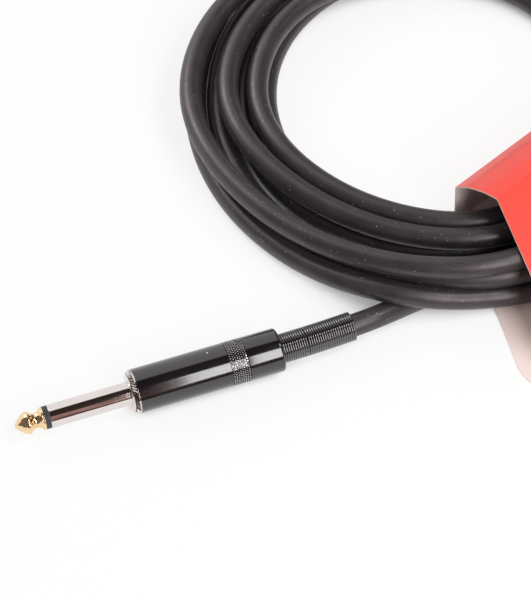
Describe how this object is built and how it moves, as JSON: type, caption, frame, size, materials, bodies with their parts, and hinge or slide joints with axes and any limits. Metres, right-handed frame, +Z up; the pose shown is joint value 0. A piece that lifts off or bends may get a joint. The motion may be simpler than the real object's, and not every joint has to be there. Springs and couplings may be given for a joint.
{
  "type": "instrument cable",
  "caption": "Coiled round instrument cable with a straight phone plug on each end, each with a screwed barrel and a spring strain relief, in a folded card sleeve.",
  "frame": {"origin": "on the table, under the centre of the box round the two plugs and the card sleeve", "axes": "+Z up from the table, +X along plug b towards its cord, +Y away from plug a towards plug b"},
  "size_m": [0.2011, 0.2045, 0.0242],
  "materials": {
    "gold": "polished",
    "nickel": "polished",
    "insulator": "matte",
    "black_enamel": "gloss black enamel",
    "black_steel": "gloss black",
    "jacket": "matte",
    "core_plastic": "satin",
    "copper": "satin",
    "solder": "satin",
    "card": "matte printed card"
  },
  "bodies": {
    "root": {"tip_contact_a": "gold", "centre_rod_a": "nickel", "tip_insulator_a": "insulator", "sleeve_contact_a": "nickel", "threaded_body_a": "nickel", "ground_lug_a": "nickel", "rear_washer_a": "insulator", "tip_lug_a": "nickel", "insulating_liner_a": "insulator", "jacket_end_a": "jacket", "inner_conductor_a": "core_plastic", "conductor_strands_a": "copper", "shield_tail_a": "copper", "tip_solder_a": "solder", "ground_solder_a": "solder", "tip_contact_b": "gold", "centre_rod_b": "nickel", "tip_insulator_b": "insulator", "sleeve_contact_b": "nickel", "threaded_body_b": "nickel", "ground_lug_b": "nickel", "rear_washer_b": "insulator", "tip_lug_b": "nickel", "insulating_liner_b": "insulator", "jacket_end_b": "jacket", "inner_conductor_b": "core_plastic", "conductor_strands_b": "copper", "shield_tail_b": "copper", "tip_solder_b": "solder", "ground_solder_b": "solder", "cord_coil": "jacket", "cord_run_a": "jacket", "cord_run_b": "jacket", "card_sleeve": "card"},
    "spring_body_a": {"relief_spring_a": "black_steel"},
    "barrel_body_a": {"barrel_a": "black_enamel"},
    "spring_body_b": {"relief_spring_b": "black_steel"},
    "barrel_body_b": {"barrel_b": "black_enamel"}
  },
  "joints": [
    {"name": "barrel_slide_a", "type": "slide", "parent": "root", "child": "spring_body_a", "axis": [0.9432, 0.3322, 0], "range_m": [0, 0.00375]},
    {"name": "barrel_turn_a", "type": "hinge", "parent": "spring_body_a", "child": "barrel_body_a", "pos_m": [-0.05304, -0.08389, 0.00605], "axis": [0.9432, 0.3322, 0], "range_deg": [0, 1800]},
    {"name": "barrel_slide_b", "type": "slide", "parent": "root", "child": "spring_body_b", "axis": [1, 0, 0], "range_m": [0, 0.00375]},
    {"name": "barrel_turn_b", "type": "hinge", "parent": "spring_body_b", "child": "barrel_body_b", "pos_m": [-0.0483, 0.0962, 0.00605], "axis": [1, 0, 0], "range_deg": [0, 1800]}
  ],
  "couplings": [
    {"joint": "barrel_turn_a", "follows": "barrel_slide_a", "rad_per_m": 8377.6},
    {"joint": "barrel_turn_b", "follows": "barrel_slide_b", "rad_per_m": 8377.6}
  ]
}
